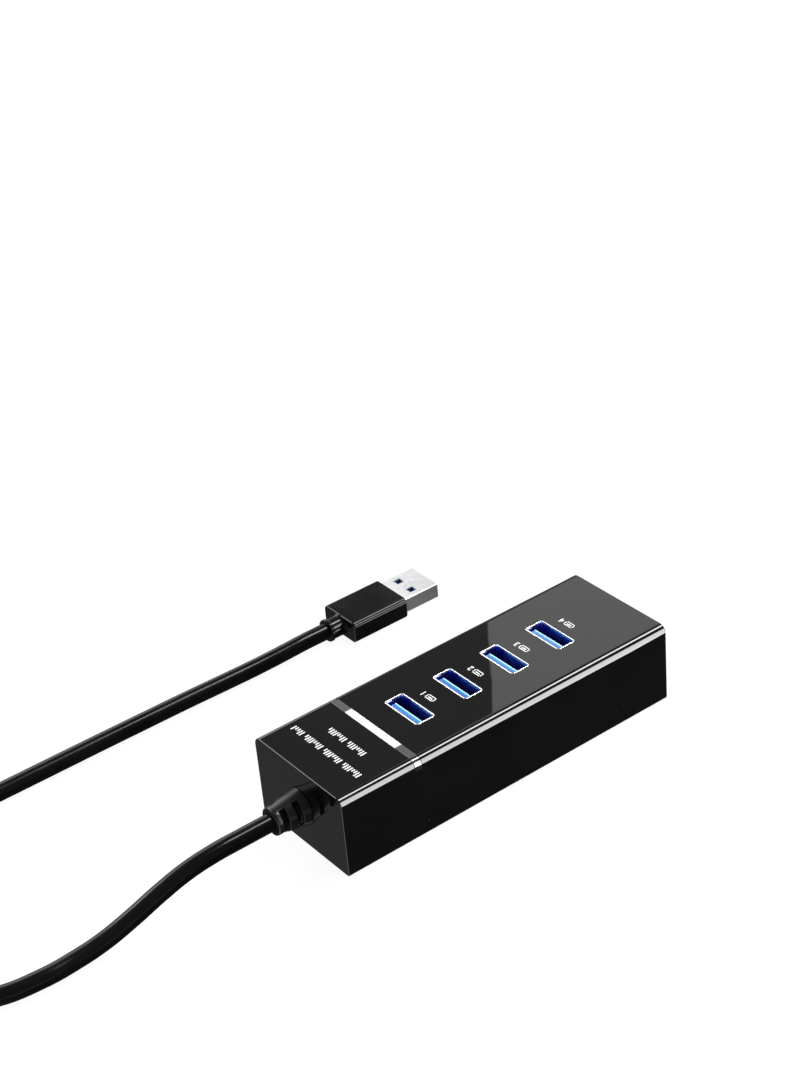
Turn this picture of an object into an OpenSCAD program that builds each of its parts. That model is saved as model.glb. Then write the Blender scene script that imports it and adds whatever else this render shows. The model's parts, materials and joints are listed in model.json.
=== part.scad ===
// Four-port USB hub with a fixed lead.
// Millimetres. +X runs along the hub away from its lead, +Y across it, +Z up.
// The origin is the centre of the underside of the housing.

/* [Housing] */
// Length of the housing
body_l = 105; // [100:1:150]
// Width of the housing
body_w = 36; // [34:1:50]
// Height of the housing
body_h = 23; // [22:1:32]
// Wall thickness of the housing
wall = 1.8; // [1.4:0.1:2.2]
// Radius of the two long top edges
edge_r = 2.3; // [2:0.1:3]
// Radius of the long bottom edges
base_r = 0.8; // [0.3:0.1:1.2]
// Thickness of the bottom cover
cover_t = 2; // [1.6:0.1:2.4]
// Gap between the bottom cover and the walls round it
cover_gap = 0.15; // [0.1:0.05:0.3]
// Diameter of the screw bosses inside the housing
boss_d = 5.6; // [4.6:0.1:6]
// Distance from an end of the housing to its screw bosses
boss_inset = 6; // [5.5:0.1:7]
// Thread diameter of all the screws
screw_d = 2; // [1.6:0.1:2.4]
// Head diameter of all the screws
screw_head_d = 3.8; // [3.2:0.1:4.2]
// Length of the screws under their heads
screw_l = 7; // [5:0.5:9]

/* [Light bar] */
// Distance from the cable end of the housing to the middle of the light bar
bar_offset = 23.3; // [22:0.1:30]
// Width of the light bar
bar_w = 2.2; // [1.6:0.1:3]
// Thickness of the light bar
bar_t = 1.2; // [0.8:0.1:1.4]
// How far down the sides of the housing the light bar reaches
bar_drop = 3; // [2.5:0.1:6]
// Gap between the light bar and the sides of its groove
bar_gap = 0.1; // [0.05:0.05:0.2]
// Length of the lit middle of the light bar
lit_l = 20.2; // [12:0.1:24]

/* [Ports] */
// Distance between neighbouring ports
port_pitch = 15.4; // [12.8:0.1:16]
// Distance from the far end of the housing to the middle of the last port
port_offset = 24; // [22:0.1:26]
// Long side of a port's opening
port_open_l = 12.5; // [12.4:0.1:12.6]
// Short side of a port's opening
port_open_w = 5.12; // [5.02:0.02:5.22]
// Sheet thickness of the port and plug shells
sheet_t = 0.3; // [0.25:0.05:0.4]
// Height of a port above the circuit board
port_h = 14.2; // [13.4:0.1:14.6]
// Gap between a port's shell and the housing round it
port_gap = 0.15; // [0.1:0.05:0.3]
// Width of a port's tongue
tongue_l = 11.1; // [10.9:0.1:11.2]
// Thickness of a port's tongue
tongue_t = 1.84; // [1.74:0.02:1.94]
// Gap between a port's tongue and the shell wall behind it
tongue_gap = 0.66; // [0.5:0.02:0.7]
// How far the tongue's tip lies below the rim of its port
tongue_sink = 0.9; // [0.5:0.1:1.5]

/* [Circuit board] */
// Thickness of the circuit board
board_t = 1.6; // [1:0.1:2]
// Gap between the circuit board and the side walls
board_gap = 2.2; // [1:0.1:3]
// Distance from the cable end of the housing to the circuit board
board_offset = 14.5; // [13:0.1:16]
// Side of the controller chip's square body
chip_s = 7; // [5:0.5:8]
// Height of the controller chip's body
chip_h = 1.4; // [0.8:0.1:2]
// Diameter of the input capacitor
can_d = 5; // [4:0.1:6]
// Height of the input capacitor's can
can_h = 4.6; // [3:0.1:6]

/* [Cable] */
// Diameter of the cord
cord_d = 4.7; // [4.4:0.1:5.7]
// Length of the strain relief outside the housing
relief_l = 9; // [8:0.5:14]
// Diameter of the strain relief where it meets the housing
relief_base_d = 10.3; // [9:0.1:12]
// Diameter of the collar at the cord's end of the strain relief
collar_d = 7.5; // [7:0.1:9]
// Diameter of the neck that the housing grips
neck_d = 8; // [7.4:0.1:9]
// Thickness of rubber left under the slots of the strain relief
slot_floor = 0.6; // [0.4:0.1:1]

/* [Plug] */
// Length of the plug's grip
grip_l = 18.5; // [16:0.5:26]
// Width of the plug's grip
grip_w = 14.2; // [14:0.1:16]
// Height of the plug's grip
grip_h = 6.6; // [6.4:0.1:8]
// Radius of the grip's long edges
grip_r = 1; // [0.5:0.1:1.4]
// Width of the plug's shell
plug_w = 12; // [11.9:0.05:12.1]
// Height of the plug's shell
plug_t = 4.5; // [4.4:0.05:4.6]
// Length of the plug's shell outside its grip
plug_l = 11.9; // [11.5:0.05:12.2]
// Thickness of the plastic insert in the plug
insert_t = 1.9; // [1.8:0.05:1.95]

/* [Hidden] */
$fn = 48;

// Extra length of a cutting shape past the face that it cuts
past = 1;

// Housing
near_x = -body_l / 2;
far_x = body_l / 2;
roof_z = body_h - wall;
inner_r = max(edge_r - wall, 0.2);
boss_x = body_l / 2 - boss_inset;
boss_y = body_w / 2 - wall - boss_d / 2;
pilot_l = screw_l + 1;
head_h = (screw_head_d - screw_d) / 2;

// Light bar and what lights it
bar_x = near_x + bar_offset;
lip_w = 5;
lip_h = 1;
pipe_w = 1.6;
led_s = [2.8, 3.5, 0.8];
led_pitch = 6;
led_air = 0.4;

// Circuit board
board_z = body_h - port_h;
board_x0 = near_x + board_offset;
board_x1 = far_x - boss_inset - boss_d / 2 - 0.4;
board_w = body_w - 2 * (wall + board_gap);
post_x0 = bar_x + 4.7;
post_x1 = board_x1 - 5.5;
post_y = board_w / 2 - 3;
board_screw_l = 5;

// Ports
port_w = port_open_w + 2 * sheet_t;
port_l = port_open_l + 2 * sheet_t;
port_corner_r = 0.7;
insulator_base_h = 3;
tongue_x0 = -port_open_w / 2 + tongue_gap;
tongue_x1 = tongue_x0 + tongue_t;
contact_t = 0.25;
front_rows = [-3.5, -1, 1, 3.5];
rear_rows = [-4, -2, 0, 2, 4];
front_w = 1;
rear_w = 0.5;
tail_w = 0.6;
tail_l = 3;
leg_w = 1.5;
leg_gap = 0.15;
spring_w = 1.4;
spring_y = 3.2;
spring_bulge = 0.45;
spring_z = [5.6, 7.4, 11.4, 11.8];

// Parts on the board
chip_x = post_x1;
lead_pitch = 0.5;
leads_per_side = 12;
lead_w = 0.2;
lead_t = 0.12;
lead_reach = 1;
block_0603 = [0.8, 1.6];
between_1_2 = port_x(1) + port_pitch / 2;
between_2_3 = port_x(2) + port_pitch / 2;
between_3_4 = port_x(3) + port_pitch / 2;
regulator_s = [3.5, 6.5, 1.6];

// Cable
cable_z = body_h / 2;
relief_x = near_x - relief_l;
collar_w = 1.5;
slot_w = 1.6;
slot_pitch = 3.6;
spine_w = 3.8;
flange_d = 12;
flange_t = 2;
cable_in_x = near_x + 6.5;
wire_rings = 6;
wire_sides = 8;

// The lead's route from the strain relief to the plug: straight out, down on to the table,
// round a wide turn and back beside the hub
cord_route = [
    [-61.5, 0, 11.5], [-70, 0, 11.5], [-78, 0, 11.4], [-86, 0, 10.5], [-94, 0, 8.4],
    [-102, 0, 5.7], [-110, 0, 3.5], [-118, 0, 2.5], [-127, 0, 2.4],
    [-138, 2, 2.4], [-148, 8, 2.4], [-155.5, 17, 2.4], [-159.5, 28, 2.4], [-159.5, 40, 2.4],
    [-155.5, 51, 2.4], [-148, 60, 2.4], [-138, 66, 2.4], [-126, 68, 2.4],
    [-112, 68.5, 2.4], [-98, 68.5, 2.4], [-84, 68.5, 2.4], [-70, 68.5, 2.4], [-56, 68.4, 2.4],
    [-43, 68.3, 2.4], [-31, 68, 2.4], [-20, 67.7, 2.5], [-11, 67.4, 2.9], [-4, 67.2, 3.3],
    [3.5, 67.2, 3.3]];
cord_sides = 10;

// Plug: it lies on the table beside the hub, its axis along X
plug_x = 3.5;
plug_y = 67.2;
plug_z = grip_h / 2;
stub_collar_w = 1.2;
stub_l = 4.8;
stub_d = 6;
grip_x = plug_x + stub_l;
grip_end_x = grip_x + grip_l;
shell_tail = 8;
shell_x = grip_end_x - shell_tail;
tip_x = grip_end_x + plug_l;
core_l = 6;
insert_sink = 0.6;
insert_back_l = 4;
window_s = 2.2;
window_x = grip_end_x + 4.9;
window_y = 2.9;
seam_depth = 0.12;
seam_w = 0.16;

function port_x(i) = far_x - port_offset - (4 - i) * port_pitch;

// --- shared shapes ---

// The outline of a body seen from its end: rounded above and, less, below
module end_outline(w, h, top_r, low_r) {
    translate([-w / 2, low_r]) square([w, h - low_r - top_r]);
    translate([-w / 2 + low_r, 0]) square([w - 2 * low_r, low_r]);
    translate([-w / 2 + top_r, low_r]) square([w - 2 * top_r, h - low_r]);
    for (side = [-1, 1]) {
        translate([side * (w / 2 - top_r), h - top_r]) circle(r = top_r);
        translate([side * (w / 2 - low_r), low_r]) circle(r = low_r);
    }
}

// Stands a Y-Z outline up and runs it along X from x0 to x1
module along_x(x0, x1) {
    translate([x0, 0, 0]) rotate([90, 0, 90]) linear_extrude(x1 - x0) children();
}

// A cylinder or a cone along X on an axis at y, z
module rod_x(x0, x1, d0, d1, y, z) {
    translate([x0, y, z]) rotate([0, 90, 0]) cylinder(h = x1 - x0, d1 = d0, d2 = d1);
}

// A rectangle with round corners, centred
module round_rect(a, b, r) {
    square([a - 2 * r, b], center = true);
    square([a, b - 2 * r], center = true);
    for (i = [-1, 1], j = [-1, 1])
        translate([i * (a / 2 - r), j * (b / 2 - r)]) circle(r = r);
}

module block(x, y, z, size) {
    translate([x - size[0] / 2, y - size[1] / 2, z]) cube(size);
}

// A screw with a flat countersunk head, its face at the origin and its shank along -Z
module countersunk_screw(l) {
    translate([0, 0, -head_h]) cylinder(h = head_h, d1 = screw_d, d2 = screw_head_d);
    translate([0, 0, -l]) cylinder(h = l - head_h, d = screw_d);
}

// A screw with a round head that sits on the face at z = 0
module pan_screw(l) {
    head = 1.3;
    slot = 0.5;
    difference() {
        cylinder(h = head, d = screw_head_d);
        for (turn = [0, 90]) rotate(turn)
            translate([-screw_head_d / 4, -slot / 2, head / 2]) cube([screw_head_d / 2, slot, head]);
    }
    translate([0, 0, -l]) cylinder(h = l, d = screw_d);
}

// The points of a ring of n sides round a route's point i, square to the route there
function unit(v) = v / norm(v);
function heading(p, i) = unit(p[min(i + 1, len(p) - 1)] - p[max(i - 1, 0)]);
function ring(p, i, r, n) =
    let (ahead = heading(p, i), side = unit(cross([0, 0, 1], ahead)), up = cross(ahead, side))
    [for (k = [0:n - 1]) p[i] + r * (cos(360 * k / n) * side + sin(360 * k / n) * up)];

// A round tube through all the points of a route
module tube(p, d, n) {
    points = [for (i = [0:len(p) - 1]) each ring(p, i, d / 2, n)];
    last = (len(p) - 1) * n;
    walls = [for (i = [0:len(p) - 2], k = [0:n - 1])
        [i * n + k, (i + 1) * n + k, (i + 1) * n + (k + 1) % n, i * n + (k + 1) % n]];
    start = [for (k = [0:n - 1]) k];
    end = [for (k = [n - 1:-1:0]) last + k];
    polyhedron(points, concat([start, end], walls));
}

// --- housing ---

// The band just under the housing's outer skin, t thick, w wide, on top and partly down both sides
module skin_band(t, w) {
    difference() {
        along_x(bar_x - w / 2, bar_x + w / 2) end_outline(body_w, body_h, edge_r, base_r);
        along_x(bar_x - w, bar_x + w) translate([0, -past])
            end_outline(body_w - 2 * t, body_h - t + past, edge_r - t, base_r);
        translate([bar_x - w, -body_w, -past]) cube([2 * w, 2 * body_w, body_h - bar_drop + past]);
    }
}

module boss_positions() {
    for (i = [-1, 1], j = [-1, 1]) translate([i * boss_x, j * boss_y, 0]) children();
}

module top_housing() color("#1b1b1d") {
    difference() {
        union() {
            difference() {
                along_x(near_x, far_x) end_outline(body_w, body_h, edge_r, base_r);
                along_x(near_x + wall, far_x - wall) translate([0, -past])
                    end_outline(body_w - 2 * wall, roof_z + past, inner_r, inner_r);
            }
            boss_positions() translate([0, 0, cover_t]) cylinder(h = roof_z - cover_t, d = boss_d);
        }
        boss_positions() translate([0, 0, -past]) cylinder(h = pilot_l + past, d = screw_d);
        for (i = [1:4]) translate([port_x(i), 0, roof_z - past]) linear_extrude(wall + 2 * past)
            round_rect(port_w + 2 * port_gap, port_l + 2 * port_gap, port_corner_r);
        skin_band(bar_t, bar_w + 2 * bar_gap);
        block(bar_x, 0, roof_z - past, [bar_w, lit_l, wall]);
        rod_x(near_x - past, near_x + wall + past, neck_d, neck_d, 0, cable_z);
    }
}

module bottom_cover() color("#202022") {
    difference() {
        union() {
            block(0, 0, 0, [body_l - 2 * (wall + cover_gap), body_w - 2 * (wall + cover_gap), cover_t]);
            board_posts() translate([0, 0, cover_t])
                cylinder(h = board_z - board_t - cover_t, d = boss_d);
        }
        boss_positions() {
            translate([0, 0, -past]) cylinder(h = cover_t + 2 * past, d = screw_d);
            cylinder(h = head_h, d1 = screw_head_d, d2 = screw_d);
        }
        board_posts() translate([0, 0, cover_t]) cylinder(h = board_z, d = screw_d);
    }
}

module cover_screws() color("#3a3a3d") {
    boss_positions() mirror([0, 0, 1]) countersunk_screw(screw_l);
}

module light_bar() color("#c9ccd0") {
    skin_band(bar_t, bar_w);
}

module light_diffuser() color("white") {
    pipe_z = board_z + led_s[2] + led_air;
    block(bar_x, 0, roof_z, [bar_w, lit_l, wall - bar_t]);
    block(bar_x, 0, roof_z - lip_h, [lip_w, lit_l, lip_h]);
    block(bar_x, 0, pipe_z, [pipe_w, lit_l - 2, roof_z - lip_h - pipe_z]);
}

// --- circuit board ---

module board_posts() {
    for (x = [post_x0, post_x1], j = [-1, 1]) translate([x, j * post_y, 0]) children();
}

module circuit_board() color("#14532d") {
    hole_gap = 0.2;
    difference() {
        translate([board_x0, -board_w / 2, board_z - board_t])
            cube([board_x1 - board_x0, board_w, board_t]);
        board_posts() cylinder(h = body_h, d = screw_d + 2 * hole_gap);
        for (i = [1:4]) translate([port_x(i), 0, board_z - board_t - past]) {
            for (y = front_rows) translate([tongue_x1 + contact_t / 2, y, 0])
                cylinder(h = board_t + 2 * past, d = tail_w + 2 * hole_gap);
            for (y = rear_rows) translate([tongue_x0 + contact_t / 2, y, 0])
                cylinder(h = board_t + 2 * past, d = tail_w + 2 * hole_gap);
            for (side = [-1, 1])
                block(0, side * (port_l - sheet_t) / 2, 0,
                    [leg_w + 2 * leg_gap, sheet_t + 2 * leg_gap, board_t + 2 * past]);
        }
    }
}

module board_screws() color("silver") {
    board_posts() translate([0, 0, board_z]) pan_screw(board_screw_l);
}

// --- ports: each stands on the board with its mouth flush with the housing ---

// A leaf bent into the port from the wall at x = 0, inwards along +X
module leaf_spring() {
    z = [for (h = spring_z) board_z + h];
    rotate([90, 0, 0]) linear_extrude(spring_w, center = true) polygon([
        [-sheet_t, z[3]], [0, z[3]], [0, z[2]], [spring_bulge, z[1]], [0.05, z[0]],
        [-sheet_t + 0.05, z[0]], [spring_bulge - sheet_t, z[1]], [-sheet_t, z[2]]]);
}

module port_shell(i) color("#d9dbe0") translate([port_x(i), 0, 0]) {
    window_h = spring_z[2] - spring_z[0] + 0.4;
    difference() {
        translate([0, 0, board_z]) linear_extrude(port_h) difference() {
            round_rect(port_w, port_l, port_corner_r);
            round_rect(port_open_w, port_open_l, port_corner_r - sheet_t);
        }
        for (side = [-1, 1], j = [-1, 1])
            block(side * port_w / 2, j * spring_y, board_z + spring_z[0] - 0.4,
                [2, spring_w + 0.6, window_h]);
    }
    for (turn = [0, 180], j = [-1, 1]) rotate(turn)
        translate([-port_open_w / 2, j * spring_y, 0]) leaf_spring();
    for (side = [-1, 1])
        block(0, side * (port_l - sheet_t) / 2, board_z - tail_l, [leg_w, sheet_t, tail_l]);
}

module port_insulator(i) color("#3f7fe0") difference() {
    translate([port_x(i), 0, board_z]) {
        linear_extrude(insulator_base_h)
            round_rect(port_open_w, port_open_l, port_corner_r - sheet_t);
        block((tongue_x0 + tongue_x1) / 2, 0, 0, [tongue_t, tongue_l, port_h - tongue_sink]);
    }
    port_contacts(i);
}

// The front row lies on the tongue's face, the rear row in grooves in its back
module port_contacts(i) color("gold") translate([port_x(i), 0, board_z]) {
    for (y = front_rows) {
        block(tongue_x1 + contact_t / 2, y, 0, [contact_t, front_w, port_h - 3.4]);
        block(tongue_x1 + contact_t / 2, y, -tail_l, [contact_t, tail_w, tail_l]);
    }
    for (y = rear_rows)
        block(tongue_x0 + contact_t / 2, y, -tail_l, [contact_t, rear_w, tail_l + port_h - 1.6]);
}

module port_1_shell() port_shell(1);
module port_2_shell() port_shell(2);
module port_3_shell() port_shell(3);
module port_4_shell() port_shell(4);
module port_1_insulator() port_insulator(1);
module port_2_insulator() port_insulator(2);
module port_3_insulator() port_insulator(3);
module port_4_insulator() port_insulator(4);
module port_1_contacts() port_contacts(1);
module port_2_contacts() port_contacts(2);
module port_3_contacts() port_contacts(3);
module port_4_contacts() port_contacts(4);

// --- parts on the board ---

module controller_chip() color("#1c1c1e") {
    foot = 0.1;
    block(chip_x, 0, board_z + foot, [chip_s, chip_s, chip_h]);
}

module chip_leads() color("silver") {
    half = chip_s / 2;
    mid = 0.1 + chip_h / 2;
    first = -(leads_per_side - 1) * lead_pitch / 2;
    for (turn = [0, 90, 180, 270], k = [0:leads_per_side - 1])
        translate([chip_x, 0, board_z]) rotate(turn) translate([0, first + k * lead_pitch, 0])
            rotate([90, 0, 0]) linear_extrude(lead_w, center = true) polygon([
                [half, mid + lead_t / 2], [half + 0.35, mid + lead_t / 2],
                [half + 0.55, lead_t], [half + lead_reach, lead_t], [half + lead_reach, 0],
                [half + 0.45, 0], [half + 0.25, mid - lead_t / 2], [half, mid - lead_t / 2]]);
}

module crystal() color("#c8cacd") {
    can = [4, 10.5, 2.8];
    translate([between_1_2, 0, board_z]) {
        linear_extrude(0.5) round_rect(4.7, 11.4, 2.3);
        linear_extrude(0.5 + can[2]) round_rect(can[0], can[1], can[0] / 2 - 0.05);
    }
}

module voltage_regulator() color("#1c1c1e") {
    block(between_2_3, -8.2, board_z, regulator_s);
}

module input_capacitor() color("#b9bcc2") {
    translate([between_2_3, 8, board_z]) {
        block(0, 0, 0, [can_d + 0.3, can_d + 0.3, 0.8]);
        cylinder(h = 0.8 + can_h, d = can_d);
    }
}

module small_capacitors() color("#b08a5b") {
    for (i = [1:4], x = [-1.2, 1.2])
        block(port_x(i) + x, port_l / 2 + 2.8, board_z, [block_0603[0], block_0603[1], 0.8]);
}

module resistors() color("#26262a") {
    for (x = [-1.5, 1.5], j = [-1.5:1:1.5])
        block(between_3_4 + x, j * 3, board_z, [block_0603[0], block_0603[1], 0.45]);
}

module indicator_leds() color("#f4f1d8") {
    for (j = [-1:1]) block(bar_x, j * led_pitch, board_z, led_s);
}

// --- cable ---

module cable_strain_relief() color("#161617") {
    root_d = cord_d + 2 * slot_floor;
    difference() {
        union() {
            rod_x(relief_x, relief_x + collar_w, collar_d, collar_d, 0, cable_z);
            rod_x(relief_x + collar_w, near_x, collar_d, relief_base_d, 0, cable_z);
            rod_x(near_x, near_x + wall, neck_d, neck_d, 0, cable_z);
            rod_x(near_x + wall, near_x + wall + flange_t, flange_d, flange_d, 0, cable_z);
        }
        rod_x(relief_x - past, near_x + wall + flange_t + past, cord_d, cord_d, 0, cable_z);
        for (k = [0, 1]) difference() {
            x = relief_x + collar_w + k * slot_pitch;
            rod_x(x, x + slot_w, 2 * relief_base_d, 2 * relief_base_d, 0, cable_z);
            rod_x(x - past, x + slot_w + past, root_d, root_d, 0, cable_z);
            block(x + slot_w / 2, 0, -body_h, [3 * slot_w, spine_w, 4 * body_h]);
        }
    }
}

module cable_end_in_hub() color("#161617") {
    rod_x(relief_x, cable_in_x, cord_d, cord_d, 0, cable_z);
}

// A wire from the cable's cut end to a pad at pad_y on the board, straight at both ends
function ease(t) = t * t * (3 - 2 * t);
function wire_route(start, pad) =
    let (straight = [1, 0, 0], from = start + straight, to = pad - straight, span = to - from)
    concat([start],
        [for (k = [0:wire_rings]) let (t = k / wire_rings)
            from + [t * span[0], ease(t) * span[1], ease(t) * span[2]]],
        [pad]);

module wire(y, z, pad_y, d) {
    start = [cable_in_x, y, cable_z + z];
    pad = [board_x0 + 2.5, pad_y, board_z + d / 2];
    tube(wire_route(start, pad), d, wire_sides);
}

module power_wires() color("#a3211c") {
    for (side = [-1, 1]) wire(side * 1.6, 0, side * 10.5, 1.1);
}

module data_wires() color("#2f7d46") {
    for (side = [-1, 1]) wire(side * 0.42, 0, side * 1.5, 0.8);
}

module superspeed_wires() color("#3b56a5") {
    for (side = [-1, 1]) {
        wire(side * 0.95, 1.25, side * 7.5, 0.8);
        wire(side * 0.95, -1.25, side * 4.5, 0.8);
    }
}

module cable_cord() color("#161617") {
    tube(cord_route, cord_d, cord_sides);
}

module cable_end_in_plug() color("#161617") {
    rod_x(plug_x, shell_x - core_l, cord_d, cord_d, plug_y, plug_z);
}

// --- plug ---

module plug_grip() color("#1a1a1b") {
    difference() {
        union() {
            along_x(grip_x, grip_end_x) translate([plug_y, 0])
                end_outline(grip_w, grip_h, grip_r, grip_r);
            rod_x(plug_x, plug_x + stub_collar_w, grip_h, grip_h, plug_y, plug_z);
            rod_x(plug_x + stub_collar_w, grip_x, stub_d, stub_d, plug_y, plug_z);
        }
        rod_x(plug_x - past, shell_x, cord_d, cord_d, plug_y, plug_z);
        along_x(shell_x - core_l, grip_end_x + past) plug_outline(0);
    }
}

// The plug shell's outline from its end, drawn in by a margin
module plug_outline(margin) {
    corner_r = 0.55;
    translate([plug_y, plug_z])
        round_rect(plug_w - 2 * margin, plug_t - 2 * margin, corner_r - margin / 2);
}

module plug_core() color("#d8d4c8") {
    along_x(shell_x - core_l, shell_x) plug_outline(0);
}

// The joint of the folded sheet: a straight line, a dovetail, and a straight line to the tip
module seam_line() {
    tail_x = grip_end_x + 6.2;
    head_x = grip_end_x + 8.2;
    path = [[shell_x, 0], [tail_x, 0], [tail_x, 0.8], [head_x, 1.3], [head_x, 0], [tip_x + past, 0]];
    for (k = [0:len(path) - 2]) {
        step = path[k + 1] - path[k];
        translate(path[k]) rotate(atan2(step[1], step[0]))
            translate([-seam_w / 2, -seam_w / 2]) square([norm(step) + seam_w, seam_w]);
    }
}

module plug_shell() color("#d9dbe0") {
    difference() {
        along_x(shell_x, tip_x) difference() {
            plug_outline(0);
            plug_outline(sheet_t);
        }
        for (side = [-1, 1])
            block(window_x, plug_y + side * window_y, -past, [window_s, window_s, grip_h + 2 * past]);
        translate([0, plug_y, plug_z + plug_t / 2 - seam_depth])
            linear_extrude(past) seam_line();
    }
}

module plug_insert() color("#2f66c8") difference() {
    union() {
        along_x(shell_x, shell_x + insert_back_l) plug_outline(sheet_t);
        intersection() {
            along_x(shell_x, tip_x - insert_sink) plug_outline(sheet_t);
            translate([shell_x, plug_y - plug_w, plug_z + plug_t / 2 - sheet_t - insert_t])
                cube([tip_x - shell_x, 2 * plug_w, insert_t + past]);
        }
    }
    for (side = [-1, 1])
        block(window_x, plug_y + side * window_y, plug_z + plug_t / 2 - sheet_t - 0.7,
            [window_s - 0.4, window_s - 0.4, past]);
    plug_contacts();
}

// Four strips let into the insert's lower face, and five short springs behind them
module plug_contacts() color("gold") {
    face_z = plug_z + plug_t / 2 - sheet_t - insert_t;
    for (y = front_rows)
        block(tip_x - insert_sink - 5, plug_y + y, face_z, [7, front_w, contact_t]);
    for (y = rear_rows)
        block(shell_x + insert_back_l + 2.1, plug_y + y, face_z, [2.4, rear_w, contact_t]);
}

top_housing();
bottom_cover();
cover_screws();
light_bar();
light_diffuser();
circuit_board();
board_screws();
port_1_shell();
port_2_shell();
port_3_shell();
port_4_shell();
port_1_insulator();
port_2_insulator();
port_3_insulator();
port_4_insulator();
port_1_contacts();
port_2_contacts();
port_3_contacts();
port_4_contacts();
controller_chip();
chip_leads();
crystal();
voltage_regulator();
input_capacitor();
small_capacitors();
resistors();
indicator_leds();
cable_strain_relief();
cable_end_in_hub();
power_wires();
data_wires();
superspeed_wires();
cable_cord();
cable_end_in_plug();
plug_grip();
plug_core();
plug_shell();
plug_insert();
plug_contacts();
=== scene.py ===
# %% [markdown]
# # A four-port hub on a fixed lead
#
# The hub is a polished black bar, 105 mm long. Four blue-tongued sockets face up
# through its lid, a milky light bar crosses the lid and wraps over both long edges,
# and a thin round lead leaves one end through a ribbed rubber sleeve, lies on the
# table in a wide turn, and ends in a flat plug.
#
# The CAD model gives every size. It is loaded as a fixed frame, and all that follows
# is built round it, in metres, in the same place.

# %% Load the frame
import json
import math

import bmesh
import bpy
from mathutils import Matrix, Vector

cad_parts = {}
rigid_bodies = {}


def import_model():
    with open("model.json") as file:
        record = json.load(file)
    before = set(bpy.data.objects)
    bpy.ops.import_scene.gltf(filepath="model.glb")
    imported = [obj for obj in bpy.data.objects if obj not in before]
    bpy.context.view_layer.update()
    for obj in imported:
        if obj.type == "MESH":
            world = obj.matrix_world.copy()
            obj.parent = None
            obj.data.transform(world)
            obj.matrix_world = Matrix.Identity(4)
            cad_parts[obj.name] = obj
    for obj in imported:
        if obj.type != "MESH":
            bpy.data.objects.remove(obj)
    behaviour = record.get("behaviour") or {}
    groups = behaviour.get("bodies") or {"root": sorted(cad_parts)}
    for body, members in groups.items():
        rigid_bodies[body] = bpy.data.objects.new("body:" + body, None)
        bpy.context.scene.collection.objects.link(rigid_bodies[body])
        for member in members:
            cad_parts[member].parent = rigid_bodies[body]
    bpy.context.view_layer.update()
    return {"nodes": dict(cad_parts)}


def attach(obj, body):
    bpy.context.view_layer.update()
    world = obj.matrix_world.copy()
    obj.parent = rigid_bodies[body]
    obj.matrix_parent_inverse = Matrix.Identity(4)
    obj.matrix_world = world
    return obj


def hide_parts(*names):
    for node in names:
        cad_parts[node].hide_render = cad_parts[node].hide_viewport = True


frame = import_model()
nodes_of_cad = frame["nodes"]
scene = bpy.context.scene

# %% [markdown]
# ## The camera
#
# The view comes from the left and above, with a moderately long lens, so the long
# edges stay almost parallel. The three axes of the camera are written as rows, which
# keeps the small roll of a camera levelled by hand.

# %% Camera
MM = 0.001


def put(name, data):
    """A new object in the scene"""
    made = bpy.data.objects.new(name, data)
    scene.collection.objects.link(made)
    return made


camera_lens = bpy.data.cameras.new("camera")
camera_lens.lens = 74.98
camera_lens.sensor_width = 36
camera_lens.clip_start = 0.01
camera = put("camera", camera_lens)
camera_right = Vector((0.7874, -0.6113, -0.0799)).normalized()
camera_up = Vector((0.3765, 0.3742, 0.8475)).normalized()
camera_axes = Matrix((camera_right, camera_up, camera_right.cross(camera_up))).transposed()
camera.matrix_world = Matrix.Translation((-0.27651, -0.37016, 0.35125)) @ camera_axes.to_4x4()
scene.camera = camera
print("camera stands", round(camera.location.length, 3), "m from the hub")

# %% [markdown]
# ## The lead
#
# A lead is a fixed length of round cable that lies under its own weight. It leaves the
# sleeve level, sinks to the table within six centimetres, turns once, wide, and comes
# back beside the hub. A curve with a round section says just that. Its knots repeat
# the route of the CAD model, and automatic handles make one smooth line of them.

# %% Lead
CORD_DIAMETER = 4.7
CABLE_AXIS_HEIGHT = 11.5
cord_route = [
    (-61.5, 0, 11.5), (-70, 0, 11.5), (-78, 0, 11.4), (-86, 0, 10.5), (-94, 0, 8.4),
    (-102, 0, 5.7), (-110, 0, 3.5), (-118, 0, 2.5), (-127, 0, 2.4),
    (-138, 2, 2.4), (-148, 8, 2.4), (-155.5, 17, 2.4), (-159.5, 28, 2.4),
    (-159.5, 40, 2.4), (-155.5, 51, 2.4), (-148, 60, 2.4), (-138, 66, 2.4),
    (-126, 68, 2.4), (-112, 68.5, 2.4), (-98, 68.5, 2.4), (-84, 68.5, 2.4),
    (-70, 68.5, 2.4), (-56, 68.4, 2.4), (-43, 68.3, 2.4), (-31, 68, 2.4),
    (-20, 67.7, 2.5), (-11, 67.4, 2.9), (-4, 67.2, 3.3), (3.5, 67.2, 3.3),
]


def curve_through(name, knots, diameter):
    """A round cord along knots given in millimetres"""
    line = bpy.data.curves.new(name, "CURVE")
    line.dimensions = "3D"
    line.bevel_depth = 1
    line.bevel_resolution = 12
    line.resolution_u = 6
    line.use_fill_caps = True
    spline = line.splines.new("BEZIER")
    spline.bezier_points.add(len(knots) - 1)
    for point, knot in zip(spline.bezier_points, knots):
        point.co = Vector(knot) * MM
        point.radius = diameter / 2 * MM
        point.handle_left_type = point.handle_right_type = "AUTO"
    return put(name, line)


lead = curve_through("lead", cord_route, CORD_DIAMETER)
print("lead knots:", len(cord_route))

# %% [markdown]
# ## Tools for the bench
#
# An operator works on whatever is selected, so each step below starts from an empty
# selection and picks faces or edges by where they are. Places are in millimetres.

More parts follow.
